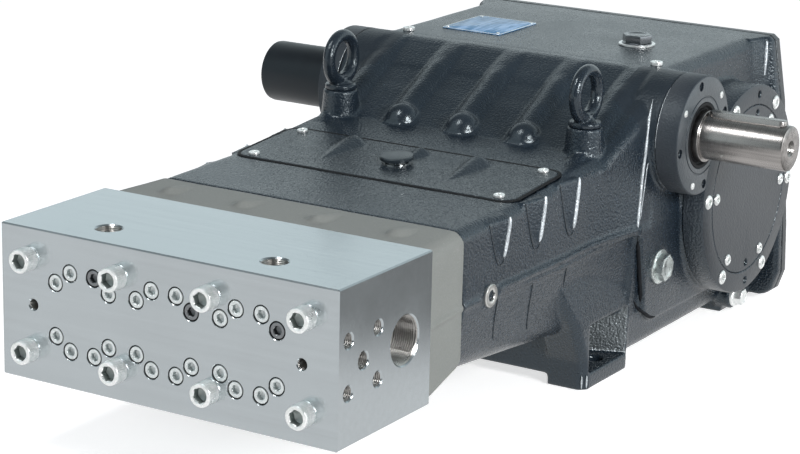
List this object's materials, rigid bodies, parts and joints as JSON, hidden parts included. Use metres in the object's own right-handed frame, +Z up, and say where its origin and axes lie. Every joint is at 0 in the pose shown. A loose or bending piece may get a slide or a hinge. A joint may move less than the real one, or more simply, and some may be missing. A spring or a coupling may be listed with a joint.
{
  "type": "high-pressure plunger pump",
  "caption": "Horizontal high-pressure plunger pump: steel valve head, grey spacer, black ribbed crankcase with lifting eyes and a keyed drive shaft",
  "frame": {"origin": "centre of the foot bolt pattern, on the floor", "axes": "+Z up, +X towards the free end of the drive shaft, +Y to the rear cover, so the valve head faces -Y"},
  "size_m": [0.6685, 0.963, 0.3465],
  "materials": {
    "machined_steel": "ground, satin",
    "screw_steel": "satin",
    "shaft_steel": "turned",
    "zinc": "zinc plated",
    "grey_casting": "matt grey paint on a casting",
    "black_paint": "black paint on a rough casting",
    "black_plastic": "satin",
    "seal_rubber": "matt",
    "blue_plate": "satin, blank"
  },
  "bodies": {
    "pump": {"valve_head": "machined_steel", "head_screws_upper": "zinc", "head_screws_lower": "zinc", "valve_screws_left": "screw_steel", "valve_screws_centre": "screw_steel", "valve_screws_right": "screw_steel", "spacer_housing": "grey_casting", "crankcase": "black_paint", "inspection_cover": "black_paint", "inspection_cover_knob": "black_plastic", "inspection_cover_screws": "zinc", "rear_cover": "black_paint", "eyebolt_left": "black_paint", "eyebolt_right": "black_paint", "nameplate": "blue_plate", "nameplate_rivets": "zinc", "filler_washer": "zinc", "filler_plug": "zinc", "deck_screws": "zinc", "bearing_cover_right": "black_paint", "bearing_cover_left": "black_paint", "shaft_seal": "seal_rubber", "bearing_cover_screws_right": "zinc", "bearing_cover_screws_left": "zinc", "bearing_cover_bolts_right": "black_paint", "bearing_cover_bolts_left": "black_paint", "shaft_guard": "black_plastic", "crank_cover_right": "black_paint", "crank_plate_right": "black_paint", "crank_cover_screws_right": "zinc", "crank_cover_left": "black_paint", "crank_plate_left": "black_paint", "crank_cover_screws_left": "zinc", "side_plug_right": "screw_steel", "side_plug_left": "screw_steel", "level_plug_right": "zinc", "level_plug_left": "zinc", "drain_plug_right": "zinc", "drain_plug_left": "zinc"},
    "shaft": {"drive_shaft": "shaft_steel", "shaft_key": "shaft_steel"}
  },
  "joints": [
    {"name": "drive_shaft_spin", "type": "hinge", "parent": "pump", "child": "shaft", "pos_m": [0.28, -0.048, 0.2545], "axis": [1, 0, 0], "continuous": true}
  ]
}
